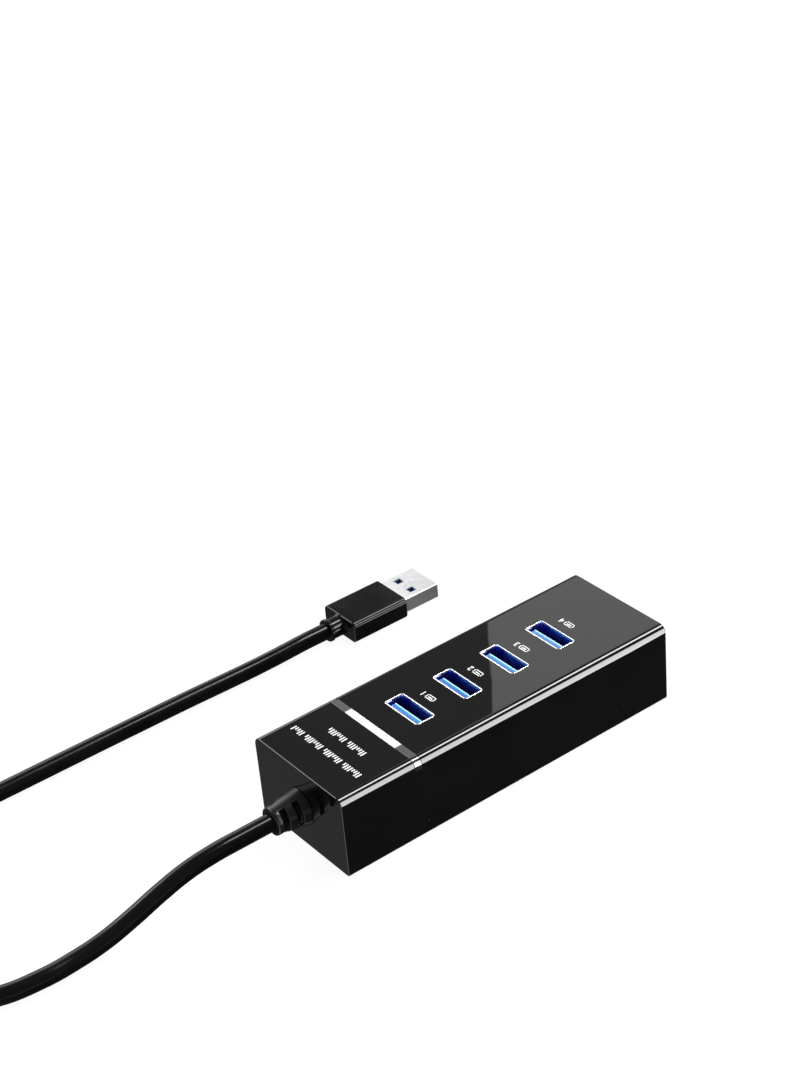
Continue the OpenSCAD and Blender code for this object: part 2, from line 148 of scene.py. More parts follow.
# %% Selecting and editing
def clear_selection():
    """Leaves edit mode and selects nothing"""
    if bpy.context.object and bpy.context.object.mode != "OBJECT":
        bpy.ops.object.mode_set(mode="OBJECT")
    bpy.ops.object.select_all(action="DESELECT")


def take(piece):
    """Makes one piece the active and only selected one"""
    clear_selection()
    piece.select_set(True)
    bpy.context.view_layer.objects.active = piece


def open_mesh(piece, kind="FACE"):
    """Enters edit mode with nothing selected"""
    take(piece)
    bpy.ops.object.mode_set(mode="EDIT")
    bpy.ops.mesh.select_mode(type=kind)
    bpy.ops.mesh.select_all(action="DESELECT")


def close_mesh():
    """Leaves edit mode"""
    bpy.ops.object.mode_set(mode="OBJECT")


def pick(piece, kind, wanted):
    """Selects the faces or edges for which wanted holds, and counts them"""
    bpy.ops.mesh.select_mode(type=kind)
    bpy.ops.mesh.select_all(action="DESELECT")
    mesh = bmesh.from_edit_mesh(piece.data)
    chosen = [part for part in (mesh.faces if kind == "FACE" else mesh.edges) if wanted(part)]
    for part in chosen:
        part.select_set(True)
    bmesh.update_edit_mesh(piece.data)
    return len(chosen)


def pick_faces(piece, wanted):
    """Picks faces by their centre in millimetres and their normal"""
    return pick(piece, "FACE", lambda f: wanted(f.calc_center_median() / MM, f.normal))


def pick_edges(piece, wanted):
    """Picks edges by their two ends in millimetres"""
    return pick(piece, "EDGE", lambda e: wanted(e.verts[0].co / MM, e.verts[1].co / MM))


def near(a, b, slack=0.02):
    return abs(a - b) < slack


def at_height(a, b, height):
    """Tells whether an edge lies level at a height"""
    return near(a.z, height) and near(b.z, height)


def upright(a, b):
    return near(a.x, b.x) and near(a.y, b.y)


def lengthwise(a, b):
    return near(a.y, b.y) and near(a.z, b.z)


def round_edges(piece, wanted, radius, segments):
    """Gives the wanted edges of the open mesh a round, and counts them"""
    count = pick_edges(piece, wanted)
    bpy.ops.mesh.bevel(offset=radius * MM, segments=segments, profile=0.5, affect="EDGES")
    return count


def top_long(a, b):
    """Tells whether an edge is a long one of the lid"""
    return at_height(a, b, BODY_HEIGHT) and near(a.y, b.y)


def sink_faces(depth):
    """Pushes the selected faces inwards along their normals"""
    bpy.ops.mesh.extrude_region_shrink_fatten(TRANSFORM_OT_shrink_fatten={"value": -depth * MM})


def cut_at(axis, places):
    """Cuts the open mesh with planes square to an axis, at places in millimetres"""
    normal = Vector((0, 0, 0))
    normal[axis] = 1
    for place in places:
        bpy.ops.mesh.select_all(action="SELECT")
        bpy.ops.mesh.bisect(plane_co=normal * place * MM, plane_no=normal)
    bpy.ops.mesh.select_all(action="DESELECT")


# %% Adding, joining and finishing
def settle(name):
    """Names the new piece, and moves its place, turn and scale into its mesh"""
    piece = bpy.context.object
    piece.name = piece.data.name = name
    bpy.ops.object.transform_apply(location=True, rotation=True, scale=True)
    return piece


def add_box(name, low, high):
    """A cube that fills a box in millimetres, with its place in its mesh"""
    clear_selection()
    low, high = Vector(low), Vector(high)
    bpy.ops.mesh.primitive_cube_add(size=1, location=(low + high) / 2 * MM)
    bpy.context.object.scale = (high - low) * MM
    return settle(name)


def modify(piece, kind, **settings):
    """Adds one modifier and applies it"""
    take(piece)
    modifier = piece.modifiers.new(kind.lower(), kind)
    for key, value in settings.items():
        setattr(modifier, key, value)
    bpy.ops.object.modifier_apply(modifier=modifier.name)


def cut_away(piece, tool, how="DIFFERENCE"):
    """Cuts a piece with a tool, which is then thrown away"""
    modify(piece, "BOOLEAN", operation=how, object=tool, solver="EXACT")
    bpy.data.objects.remove(tool)


def break_corners(piece, width, segments, sharper=50):
    """A small bevel on every edge sharper than an angle in degrees"""
    modify(piece, "BEVEL", width=width * MM, segments=segments, limit_method="ANGLE",
           angle_limit=math.radians(sharper))


def join(pieces):
    """Joins pieces into the first one"""
    take(pieces[0])
    for piece in pieces[1:]:
        piece.select_set(True)
    bpy.ops.object.join()
    return pieces[0]


def shade(piece, angle=35):
    """Smooth shading that keeps large faces flat and edges sharper than angle crisp"""
    take(piece)
    bpy.ops.object.shade_smooth_by_angle(angle=math.radians(angle))
    modify(piece, "WEIGHTED_NORMAL", keep_sharp=True, weight=60)


def merge_doubles(piece):
    """Opens a mesh and merges points that lie together"""
    open_mesh(piece)
    bpy.ops.mesh.select_all(action="SELECT")
    bpy.ops.mesh.remove_doubles(threshold=0.002 * MM)


def worked_copy(node, name):
    """A copy of a CAD node with its triangles merged into whole faces"""
    clear_selection()
    piece = put(name, nodes_of_cad[node].data.copy())
    piece.data.name = name
    piece.data.materials.clear()
    take(piece)
    if piece.data.has_custom_normals:
        bpy.ops.mesh.customdata_custom_splitnormals_clear()
    merge_doubles(piece)
    bpy.ops.mesh.dissolve_limited(angle_limit=math.radians(0.8))
    close_mesh()
    return piece


def place(piece, node, slot):
    """Lets a finished piece stand for its CAD node and ride on the hub"""
    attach(piece, "root")
    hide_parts(node)
    triangles = sum(len(p.vertices) - 2 for p in piece.data.polygons)
    print(f"{piece.name}: {triangles} triangles")


# %% [markdown]
# ## The housing
#
# The housing is moulded in one piece: a long box, open below, with generous rounds
# along its two long top edges and almost sharp ends. Its polish shows every wave, so
# it starts as a cube whose long edges are bevelled, which keeps the lid truly flat,
# and the rounds get enough segments to reflect as one clean line.

# %% Outer skin
BODY_LENGTH, BODY_WIDTH, BODY_HEIGHT = 105, 36, 23
WALL = 1.8
TOP_ROUND, LOW_ROUND, END_ROUND = 2.3, 0.8, 0.28
TOP_SEGMENTS = 14
half_l, half_w = BODY_LENGTH / 2, BODY_WIDTH / 2
ROOF = BODY_HEIGHT - WALL

housing = add_box("housing", (-half_l, -half_w, 0), (half_l, half_w, BODY_HEIGHT))
open_mesh(housing, "EDGE")
round_edges(housing, top_long, TOP_ROUND, TOP_SEGMENTS)
round_edges(housing, lambda a, b: at_height(a, b, 0) and near(a.y, b.y), LOW_ROUND, 5)
round_edges(housing, lambda a, b: near(abs(a.x), half_l) and near(a.x, b.x), END_ROUND, 3)
close_mesh()
print("housing faces:", len(housing.data.polygons))

# %% [markdown]
# The inside is a smaller box, cut away from below. The groove for the light bar is made
# on the skin itself: the skin is cut across at the groove's two sides, and the strip
# between them is pushed inwards along its normals, so the groove follows the rounds.

# %% Groove for the light bar
BAR_FROM_END = 23.3
BAR_X = -half_l + BAR_FROM_END
BAR_WIDTH, BAR_THICK, BAR_DROP, BAR_GAP = 2.2, 1.2, 3, 0.1
groove_half = BAR_WIDTH / 2 + BAR_GAP
bar_foot = BODY_HEIGHT - BAR_DROP
open_mesh(housing)
cut_at(0, [BAR_X - groove_half, BAR_X + groove_half])
cut_at(2, [bar_foot])
strip = pick_faces(housing, lambda c, n: abs(c.x - BAR_X) < groove_half and c.z > bar_foot)
sink_faces(BAR_THICK)
close_mesh()
print("groove faces:", strip)

# %% [markdown]
# The hollow, the four openings in the lid, the slot over the lamps and the hole for the
# sleeve's neck are cut with simple tools, each a box or a rod shaped first.

# %% Hollow and openings
PORT_PITCH, LAST_PORT_FROM_END, PORT_CORNER = 15.4, 24, 0.7
PORT_X = [half_l - LAST_PORT_FROM_END - (3 - i) * PORT_PITCH for i in range(4)]
OPEN_L, OPEN_W, SHEET, PORT_GAP = 12.5, 5.12, 0.3, 0.15
hole_l = OPEN_L / 2 + SHEET + PORT_GAP
hole_w = OPEN_W / 2 + SHEET + PORT_GAP
LIT_LENGTH = 20.2
NECK_DIAMETER = 8


def rounded_tool(low, high, radius):
    """A box with round upright edges"""
    tool = add_box("tool", low, high)
    open_mesh(tool, "EDGE")
    round_edges(tool, upright, radius, 5)
    close_mesh()
    return tool


hollow = add_box("tool", (WALL - half_l, WALL - half_w, -1), (half_l - WALL, half_w - WALL, ROOF))
cut_away(housing, hollow)
for x in PORT_X:
    opening_low, opening_high = (x - hole_w, -hole_l, ROOF - 1), (x + hole_w, hole_l, BODY_HEIGHT + 1)
    cut_away(housing, rounded_tool(opening_low, opening_high, PORT_CORNER))
slot_low = (BAR_X - BAR_WIDTH / 2, -LIT_LENGTH / 2, ROOF - 1)
slot_high = (BAR_X + BAR_WIDTH / 2, LIT_LENGTH / 2, BODY_HEIGHT - 1)
cut_away(housing, add_box("tool", slot_low, slot_high))
clear_selection()
bpy.ops.mesh.primitive_cylinder_add(
    vertices=64, radius=NECK_DIAMETER / 2 * MM, depth=6 * MM,
    location=(-half_l * MM, 0, CABLE_AXIS_HEIGHT * MM), rotation=(0, math.pi / 2, 0))
cut_away(housing, bpy.context.object)
print("housing faces after cutting:", len(housing.data.polygons))

# %% [markdown]
# The screw bosses stand in the four corners of the hollow. Each is a cylinder whose foot
# is inset and pushed up to make its pilot hole.

# %% Screw bosses and edges of the openings
BOSS_FROM_END, BOSS_FROM_WALL, BOSS_DIAMETER = 6, 2.8, 5.6
BOSS_X, BOSS_Y = half_l - BOSS_FROM_END, half_w - WALL - BOSS_FROM_WALL
COVER_THICK, PILOT_DEPTH, SCREW_DIAMETER = 2, 8, 2
boss_top = ROOF + 0.4
corner_reach = PORT_CORNER + 0.05


def add_boss(x, y):
    """A boss that grows out of the roof"""
    clear_selection()
    bpy.ops.mesh.primitive_cylinder_add(
        vertices=32, radius=BOSS_DIAMETER / 2 * MM, depth=(boss_top - COVER_THICK) * MM,
        location=(x * MM, y * MM, (COVER_THICK + boss_top) / 2 * MM))
    boss = settle("boss")
    open_mesh(boss)
    pick_faces(boss, lambda c, n: n.z < -0.9)
    bpy.ops.mesh.inset(thickness=(BOSS_DIAMETER - SCREW_DIAMETER) / 2 * MM)
    bpy.ops.mesh.extrude_region_move(
        TRANSFORM_OT_translate={"value": (0, 0, (PILOT_DEPTH - COVER_THICK) * MM)})
    close_mesh()
    return boss


def on_opening(a, b):
    """Tells whether an edge of the lid borders one of the four openings"""
    if not at_height(a, b, BODY_HEIGHT) or max(abs(a.y), abs(b.y)) > hole_l + 0.02:
        return False
    mid = (a + b) / 2
    for x in PORT_X:
        if max(abs(a.x - x), abs(b.x - x)) > hole_w + 0.02:
            continue
        along = near(abs(mid.x - x), hole_w) or near(abs(mid.y), hole_l)
        corner = abs(mid.x - x) > hole_w - corner_reach and abs(mid.y) > hole_l - corner_reach
        if along or (corner and (a - b).length < 0.4):
            return True
    return False


open_mesh(housing, "EDGE")
rim_edges = round_edges(housing, on_opening, 0.1, 2)
close_mesh()
bosses = [add_boss(i * BOSS_X, j * BOSS_Y) for i in (-1, 1) for j in (-1, 1)]
join([housing, *bosses])
shade(housing)
place(housing, "top_housing", "gloss_black_shell")
print("edges rounded at the openings:", rim_edges)

# %% [markdown]
# ## The light bar
#
# The bar is a bent strip of milky acrylic that lies flush in its groove. It begins as
# the same rounded box as the housing, only 2.2 mm long. Its ends and its lower part
# are removed, and the open strip that is left is given its thickness inwards.

# %% Light bar
bar_half = BAR_WIDTH / 2
light_bar = add_box("light_strip", (BAR_X - bar_half, -half_w, 0),
                    (BAR_X + bar_half, half_w, BODY_HEIGHT))
open_mesh(light_bar, "EDGE")
round_edges(light_bar, top_long, TOP_ROUND, TOP_SEGMENTS)
cut_at(2, [bar_foot])
pick_faces(light_bar, lambda c, n: abs(n.x) > 0.9 or c.z < bar_foot)
bpy.ops.mesh.delete(type="FACE")
close_mesh()
modify(light_bar, "SOLIDIFY", thickness=BAR_THICK * MM, offset=-1, use_even_offset=True)
break_corners(light_bar, 0.1, 2)
shade(light_bar)
place(light_bar, "light_bar", "smoked_light_bar")

# %% [markdown]
# ## The sockets
#
# Each socket is a tube folded from 0.3 mm nickel-plated sheet. Its skin is modelled
# first, as a box without lid or floor, with round corners and two windows in each broad
# wall. The last 0.7 mm opens a little, as a press does to guide a plug in. Solidify
# then gives the skin its thickness. One socket is made, and copied three times.

# %% Socket skin
SOCKET_DEPTH, FLARE_DEPTH, FLARE = 14.2, 0.7, 0.12
PORT_FLOOR = BODY_HEIGHT - SOCKET_DEPTH
FLARE_START = BODY_HEIGHT - FLARE_DEPTH
SPRING_Y, SPRING_WIDTH, SPRING_BULGE = 3.2, 1.4, 0.45
window_half = SPRING_WIDTH / 2 + 0.3
WINDOW_LOW, WINDOW_HIGH = PORT_FLOOR + 5.2, PORT_FLOOR + 11.6
first_x = PORT_X[0]
skin_w, skin_l = OPEN_W / 2 + SHEET, OPEN_L / 2 + SHEET


def in_window(centre, normal):
    """Tells whether a face of the skin lies in one of the four windows"""
    across = abs(abs(centre.y) - SPRING_Y) < window_half
    return abs(normal.x) > 0.9 and across and WINDOW_LOW < centre.z < WINDOW_HIGH


socket = add_box("socket_1_shell", (first_x - skin_w, -skin_l, PORT_FLOOR),
                 (first_x + skin_w, skin_l, BODY_HEIGHT))
open_mesh(socket)
pick_faces(socket, lambda c, n: abs(n.z) > 0.9)
bpy.ops.mesh.delete(type="ONLY_FACE")
round_edges(socket, upright, PORT_CORNER, 5)
cut_at(2, [WINDOW_LOW, WINDOW_HIGH, FLARE_START])
cut_at(1, [j * (SPRING_Y + k * window_half) for j in (-1, 1) for k in (-1, 1)])
pick_faces(socket, in_window)
bpy.ops.mesh.delete(type="FACE")
pick_edges(socket, lambda a, b: at_height(a, b, BODY_HEIGHT))
bpy.ops.transform.resize(
    value=(1 + FLARE / skin_w, 1 + FLARE / skin_l, 1),
    center_override=(first_x * MM, 0, BODY_HEIGHT * MM))
close_mesh()
modify(socket, "SOLIDIFY", thickness=SHEET * MM, offset=-1, use_even_offset=True)
break_corners(socket, 0.09, 3)
print("socket skin:", len(socket.data.polygons), "faces")

# %% [markdown]
# A spring leaf hangs in each window. It is a strip of the same sheet, cut across at its
# bend, whose bend is pushed into the tube. Two legs hold the socket to the board.

# %% Springs and legs
BEND = PORT_FLOOR + 7.4
LEAF_TOP, LEAF_ROOT, LEAF_TIP = PORT_FLOOR + 11.8, PORT_FLOOR + 11.4, PORT_FLOOR + 5.6
LEG_HALF_WIDTH, LEG_FOOT = 0.75, PORT_FLOOR - 3


def add_leaf(side, y):
    """A leaf on one broad wall; side is -1 or 1 along X"""
    wall = first_x + side * OPEN_W / 2
    outer, inner = sorted((wall + side * SHEET, wall))
    leaf = add_box("leaf", (outer, y - SPRING_WIDTH / 2, LEAF_TIP),
                   (inner, y + SPRING_WIDTH / 2, LEAF_TOP))
    open_mesh(leaf)
    cut_at(2, [BEND, LEAF_ROOT])
    for height, push in ((BEND, SPRING_BULGE), (LEAF_TIP, 0.05)):
        pick_edges(leaf, lambda a, b: at_height(a, b, height))
        bpy.ops.transform.translate(value=(-side * push * MM, 0, 0))
    round_edges(leaf, lambda a, b: at_height(a, b, BEND) and near(a.x, b.x), 0.5, 4)
    close_mesh()
    return leaf


def add_leg(side):
    """A leg under one narrow wall; side is -1 or 1 along Y"""
    outer = side * skin_l
    low_y, high_y = sorted((outer, outer - side * SHEET))
    leg = add_box("leg", (first_x - LEG_HALF_WIDTH, low_y, LEG_FOOT),
                  (first_x + LEG_HALF_WIDTH, high_y, PORT_FLOOR + 0.01))
    open_mesh(leg)
    round_edges(leg, lambda a, b: at_height(a, b, LEG_FOOT) and near(a.x, b.x), 0.3, 2)
    close_mesh()
    return leg


leaves = [add_leaf(side, j * SPRING_Y) for side in (-1, 1) for j in (-1, 1)]
join([socket, *leaves, add_leg(-1), add_leg(1)])
shade(socket)

# %% [markdown]
# The blue tongue carries the contacts: a flat block on a broader foot. The edges of its
# tip are rounded so that they catch the light, and five grooves in its back take the
# rear contacts, which come from the CAD model.

# %% Socket tongue
TONGUE_TIP = BODY_HEIGHT - 0.9
TONGUE_L, TONGUE_T, TONGUE_GAP, FOOT_HEIGHT = 11.1, 1.84, 0.66, 3
CONTACT_THICK, REAR_TOP = 0.25, PORT_FLOOR + 12.6
rear_half = 0.5 / 2 + 0.03
back_x = first_x - OPEN_W / 2 + TONGUE_GAP

tongue = add_box("socket_1_tongue", (back_x, -TONGUE_L / 2, PORT_FLOOR + 0.5),
                 (back_x + TONGUE_T, TONGUE_L / 2, TONGUE_TIP))
open_mesh(tongue, "EDGE")
round_edges(tongue, lambda a, b: at_height(a, b, TONGUE_TIP), 0.32, 4)
round_edges(tongue, lambda a, b: upright(a, b) and (a - b).length > 5, 0.2, 2)
close_mesh()
foot = rounded_tool((first_x - OPEN_W / 2, -OPEN_L / 2, PORT_FLOOR),
                    (first_x + OPEN_W / 2, OPEN_L / 2, PORT_FLOOR + FOOT_HEIGHT), 0.4)
cut_away(tongue, foot, "UNION")
rear_grooves = [add_box("groove", (back_x - 0.5, y - rear_half, PORT_FLOOR - 1),
                        (back_x + CONTACT_THICK, y + rear_half, REAR_TOP))
                for y in (-4, -2, 0, 2, 4)]
cut_away(tongue, join(rear_grooves))
shade(tongue, 30)

# %% Three more sockets
def copy_of(piece, name, shift):
    """A copy with its own mesh, moved along X by a distance in millimetres"""
    twin = put(name, piece.data.copy())
    take(twin)
    twin.location.x = shift * MM
    return settle(name)


shells, tongues = [socket], [tongue]
for number in (2, 3, 4):
    shift = (number - 1) * PORT_PITCH
    shells.append(copy_of(socket, f"socket_{number}_shell", shift))
    tongues.append(copy_of(tongue, f"socket_{number}_tongue", shift))
for number, (shell, blade) in enumerate(zip(shells, tongues), 1):
    place(shell, f"port_{number}_shell", "nickel_shell")
    place(blade, f"port_{number}_insulator", "blue_insulator")

# %% [markdown]
# ## The sleeve
#
# The rubber sleeve that keeps the lead from kinking is round, with a collar at its thin
# end and slots that leave a spine above and below. A round thing is drawn as half of
# its outline and spun about its axis.

# %% Spinning an outline
def spin_x(name, outline, axis_y, axis_z, steps):
    """Spins points (x, radius) in millimetres about an axis along X"""
    clear_selection()
    start = Vector((outline[0][0], axis_y, axis_z + outline[0][1]))
    bpy.ops.mesh.primitive_plane_add(size=1 * MM, location=start * MM)
    piece = settle(name)
    open_mesh(piece, "VERT")
    bpy.ops.mesh.select_all(action="SELECT")
    bpy.ops.mesh.merge(type="CENTER")
    for before, after in zip(outline, outline[1:]):
        step = (after[0] - before[0], 0, after[1] - before[1])
        bpy.ops.mesh.extrude_vertices_move(
            TRANSFORM_OT_translate={"value": Vector(step) * MM})
    bpy.ops.mesh.select_all(action="SELECT")
    bpy.ops.mesh.spin(
        steps=steps, angle=math.tau, center=(0, axis_y * MM, axis_z * MM), axis=(1, 0, 0))
    bpy.ops.mesh.select_all(action="SELECT")
    bpy.ops.mesh.remove_doubles(threshold=0.004 * MM)
    bpy.ops.mesh.normals_make_consistent(inside=False)
    close_mesh()
    return piece


# %% Sleeve
SLEEVE_LENGTH, HEAD_LENGTH, NECK_RADIUS, HEAD_RADIUS = 9, 2, 4, 6
SLEEVE_TIP = -half_l - SLEEVE_LENGTH
COLLAR_LENGTH, SLOT_WIDTH, SLOT_PITCH, SLOT_MIDDLE_RADIUS = 1.5, 1.6, 3.6, 4.15
SPINE, SPINE_RADIUS = 3.8, 4.2
ROOT_RADIUS = CORD_DIAMETER / 2 + 0.6
BORE_RADIUS = CORD_DIAMETER / 2 + 0.02
COLLAR_RADIUS, BASE_RADIUS = 3.75, 5.15
cone_start = SLEEVE_TIP + COLLAR_LENGTH
slot_starts = [cone_start, cone_start + SLOT_PITCH]


def cone_radius(x):
    """Radius of the sleeve's cone at x"""
    return COLLAR_RADIUS + (BASE_RADIUS - COLLAR_RADIUS) * (x - cone_start) / (-half_l - cone_start)


inner_face, base = -half_l + WALL, -half_l - 0.03
head_end = inner_face + HEAD_LENGTH
sleeve_outline = [(head_end, BORE_RADIUS), (SLEEVE_TIP, BORE_RADIUS), (SLEEVE_TIP, COLLAR_RADIUS - 0.3)]
sleeve_outline += [(SLEEVE_TIP + 0.09, COLLAR_RADIUS - 0.09), (SLEEVE_TIP + 0.3, COLLAR_RADIUS)]
for x in slot_starts:
    sleeve_outline += [(x, cone_radius(x)), (x + SLOT_WIDTH, cone_radius(x + SLOT_WIDTH))]
sleeve_outline += [(-half_l - 0.12, cone_radius(-half_l - 0.12)), (base, BASE_RADIUS - 0.12)]
sleeve_outline += [(base, NECK_RADIUS), (inner_face, NECK_RADIUS), (inner_face, HEAD_RADIUS)]
sleeve_outline += [(head_end, HEAD_RADIUS), (head_end, BORE_RADIUS)]
sleeve = spin_x("sleeve", sleeve_outline, 0, CABLE_AXIS_HEIGHT, 72)


def in_slot(centre, normal):
    """Tells whether a face of the cone lies in one of the slots"""
    radius = math.hypot(centre.y, centre.z - CABLE_AXIS_HEIGHT)
    beside_spine = abs(centre.y) > SPINE / 2 * radius / SPINE_RADIUS
    return radius > COLLAR_RADIUS - 0.2 and beside_spine and any(
        x < centre.x < x + SLOT_WIDTH for x in slot_starts)


open_mesh(sleeve)
slot_faces = pick_faces(sleeve, in_slot)
sink_faces(SLOT_MIDDLE_RADIUS - ROOT_RADIUS)
close_mesh()
break_corners(sleeve, 0.1, 2, sharper=55)
shade(sleeve, 50)
place(sleeve, "cable_strain_relief", "black_cable")
print("faces in the slots:", slot_faces)

# %% [markdown]
# ## The plug
#
# The grip is a flat block moulded over the back of the plug, with a round stub for the
# lead. The block's edges are rounded, the stub is spun from an outline that widens
# where it meets the block, and the two are united.

# %% Grip
PLUG_X, PLUG_Y, PLUG_Z = 3.5, 67.2, 3.3
GRIP_START, GRIP_END = 8.3, 26.8
GRIP_WIDTH, GRIP_HEIGHT, GRIP_ROUND = 14.2, 6.6, 1.5
PLUG_WIDTH, PLUG_HEIGHT = 12, 4.5
SHELL_START = GRIP_END - 8
STUB_RADIUS, COLLAR, STUB_ROOT = 3, 3.3, 3.28

grip = add_box("grip", (GRIP_START, PLUG_Y - GRIP_WIDTH / 2, 0),
               (GRIP_END, PLUG_Y + GRIP_WIDTH / 2, GRIP_HEIGHT))
open_mesh(grip, "EDGE")
round_edges(grip, lengthwise, GRIP_ROUND, 10)
round_edges(grip, lambda a, b: near(a.x, b.x) and near(a.x, GRIP_START), 0.5, 4)
round_edges(grip, lambda a, b: near(a.x, b.x) and near(a.x, GRIP_END), 0.25, 3)
close_mesh()
ON_AXIS = 0.001
stub_end = GRIP_START + 0.6
stub_outline = [(stub_end, ON_AXIS), (PLUG_X, ON_AXIS), (PLUG_X, 2.95), (PLUG_X + 0.1, 3.2),
                (PLUG_X + 0.35, COLLAR), (PLUG_X + 0.85, COLLAR), (PLUG_X + 1.1, 3.2),
                (PLUG_X + 1.25, STUB_RADIUS), (GRIP_START - 0.9, STUB_RADIUS), (GRIP_START - 0.4, 3.06),
                (GRIP_START, STUB_ROOT), (stub_end, STUB_ROOT), (stub_end, ON_AXIS)]
cut_away(grip, spin_x("stub", stub_outline, PLUG_Y, PLUG_Z, 48), "UNION")
bore_outline = [(PLUG_X - 1, ON_AXIS), (PLUG_X - 1, BORE_RADIUS), (SHELL_START, BORE_RADIUS),
                (SHELL_START, ON_AXIS)]
cut_away(grip, spin_x("bore", bore_outline, PLUG_Y, PLUG_Z, 48))
pocket = add_box("pocket", (SHELL_START - 6, PLUG_Y - PLUG_WIDTH / 2, PLUG_Z - PLUG_HEIGHT / 2),
                 (GRIP_END + 1, PLUG_Y + PLUG_WIDTH / 2, PLUG_Z + PLUG_HEIGHT / 2))
open_mesh(pocket, "EDGE")
round_edges(pocket, lengthwise, 0.55, 5)
close_mesh()
cut_away(grip, pocket)
merge_doubles(grip)
bpy.ops.mesh.normals_make_consistent(inside=False)
close_mesh()
shade(grip)
place(grip, "plug_grip", "black_grip")

# %% [markdown]
# The plug's own shell is folded sheet with two square windows and a dovetailed joint
# on top. A merged copy of its CAD solid gets its edges rounded.

# %% Plug shell
plug_shell = worked_copy("plug_shell", "plug_sheet")
break_corners(plug_shell, 0.05, 2)
shade(plug_shell)
place(plug_shell, "plug_shell", "nickel_shell")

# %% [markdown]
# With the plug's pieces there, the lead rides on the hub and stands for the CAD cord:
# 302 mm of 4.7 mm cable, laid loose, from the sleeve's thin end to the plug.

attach(lead, "root")
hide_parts("cable_cord")

# %% [markdown]
# ## The printed marks
#
# The lid carries white print: beside each socket a small picture of a socket and its
# number, and two rows of fine dashes at the lead's end. Numbers are text made into a
# mesh, and all print is laid a hair above the lid.

# %% Printed marks
PRINT_HEIGHT, PRINT_HALF_THICK = BODY_HEIGHT + 0.012, 0.006
DIGIT_SIZE = 2.5


def add_digit(number, x, y):
    """A number that is read from the end away from the lead"""
    clear_selection()
    bpy.ops.object.text_add()
    digit = bpy.context.object
    digit.data.body = str(number)
    digit.data.size = DIGIT_SIZE * MM
    digit.data.align_x = digit.data.align_y = "CENTER"
    digit.data.extrude = PRINT_HALF_THICK * MM
    digit.data.offset = 0.05 * MM
    bpy.ops.object.convert(target="MESH")
    bpy.context.object.matrix_world = Matrix.Translation(
        Vector((x, y, PRINT_HEIGHT)) * MM) @ Matrix.Rotation(math.radians(90), 4, "Z")
    return settle("digit")


def add_dash(x0, x1, y0, y1):
    """A rectangle of print with its corners taken off"""
    dash = add_box("dash", (x0, y0, PRINT_HEIGHT - PRINT_HALF_THICK),
                   (x1, y1, PRINT_HEIGHT + PRINT_HALF_THICK))
    open_mesh(dash, "EDGE")
    round_edges(dash, upright, 0.12, 2)
    close_mesh()
    return dash


def add_picture(x, y):
    """A small outline of a socket with its tongue: two long sides, two ends and a bar"""
    half_x, half_y, line = 0.85, 1.6, 0.3
    strokes = [(half_x - line, half_x, -half_y, half_y), (-half_x, line - half_x, -half_y, half_y),
               (-half_x, half_x, half_y - line, half_y), (-half_x, half_x, -half_y, line - half_y),
               (-0.3, 0.12, 0.75 - half_y, half_y - 0.75)]
    return [add_dash(x + a, x + b, y + c, y + d) for a, b, c, d in strokes]


BESIDE_SOCKET, DIGIT_Y, PICTURE_Y = 6.6, 2.75, -0.1
marks = []
for number, x in enumerate(PORT_X, 1):
    marks.append(add_digit(number, x + BESIDE_SOCKET, DIGIT_Y))
    marks += add_picture(x + BESIDE_SOCKET, PICTURE_Y)
DASH_WIDE, DASH_STEP, WORD = 0.42, 0.86, 9
LONG_DASH, SHORT_DASH, short_dashes = 0.95, 0.2, (2, 3, 7)
for row_x, row_start, row_end in ((-43.3, -13, 14.2), (-37.3, -7, 8)):
    for step in range(int((row_end - row_start) / DASH_STEP) + 1):
        if step % WORD == WORD - 1:
            continue
        y = row_start + step * DASH_STEP
        top = SHORT_DASH if step % WORD in short_dashes else LONG_DASH
        marks.append(add_dash(row_x - top, row_x + LONG_DASH, y, y + DASH_WIDE))
print_marks = join(marks)
print_marks.name = print_marks.data.name = "printed_marks"
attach(print_marks, "root")
print("printed marks:", len(print_marks.data.polygons), "faces")

# %% [markdown]
# ## Shared effects
#
# Every finish needs some irregularity at the right scale. Four small node groups make
# it, each from the position on the piece: slow patches of tone, a fine grain, lines of
# brushing, and specks of dust.

# %% Node helpers
def new_group(name, inputs, outputs):
    """A node group with a Vector and other inputs, and float outputs; returns it with its two ends"""
    group = bpy.data.node_groups.new(name, "ShaderNodeTree")
    group.interface.new_socket("Vector", in_out="INPUT", socket_type="NodeSocketVector")
    for title, value in inputs.items():
        kind = "NodeSocketVector" if isinstance(value, tuple) else "NodeSocketFloat"
        group.interface.new_socket(title, in_out="INPUT", socket_type=kind).default_value = value
    for title in outputs:
        group.interface.new_socket(title, in_out="OUTPUT", socket_type="NodeSocketFloat")
    return group, group.nodes.new("NodeGroupInput"), group.nodes.new("NodeGroupOutput")


def node(tree, kind, **settings):
    """A new node with its settings"""
    made = tree.nodes.new(kind)
    for key, value in settings.items():
        setattr(made, key, value)
    return made


def supply(tree, socket, value):
    """Links a socket to another, or sets it to a value"""
    if hasattr(value, "is_output"):
        tree.links.new(value, socket)
    else:
        socket.default_value = value


def feed(tree, source, target, *titles):
    """Links outputs of one node to the inputs of the same name of another"""
    for title in titles:
        tree.links.new(source.outputs[title], target.inputs[title])


def maths(tree, operation, a, b=None, clamp=False):
    """A Math node whose inputs are numbers or sockets; returns its output"""
    made = node(tree, "ShaderNodeMath", operation=operation, use_clamp=clamp)
    for socket, value in zip(made.inputs, (a, b)):
        if value is not None:
            supply(tree, socket, value)
    return made.outputs[0]


def product(tree, first, *others):
    """Multiplies numbers and sockets; the first is a socket"""
    for other in others:
        first = maths(tree, "MULTIPLY", first, other)
    return first


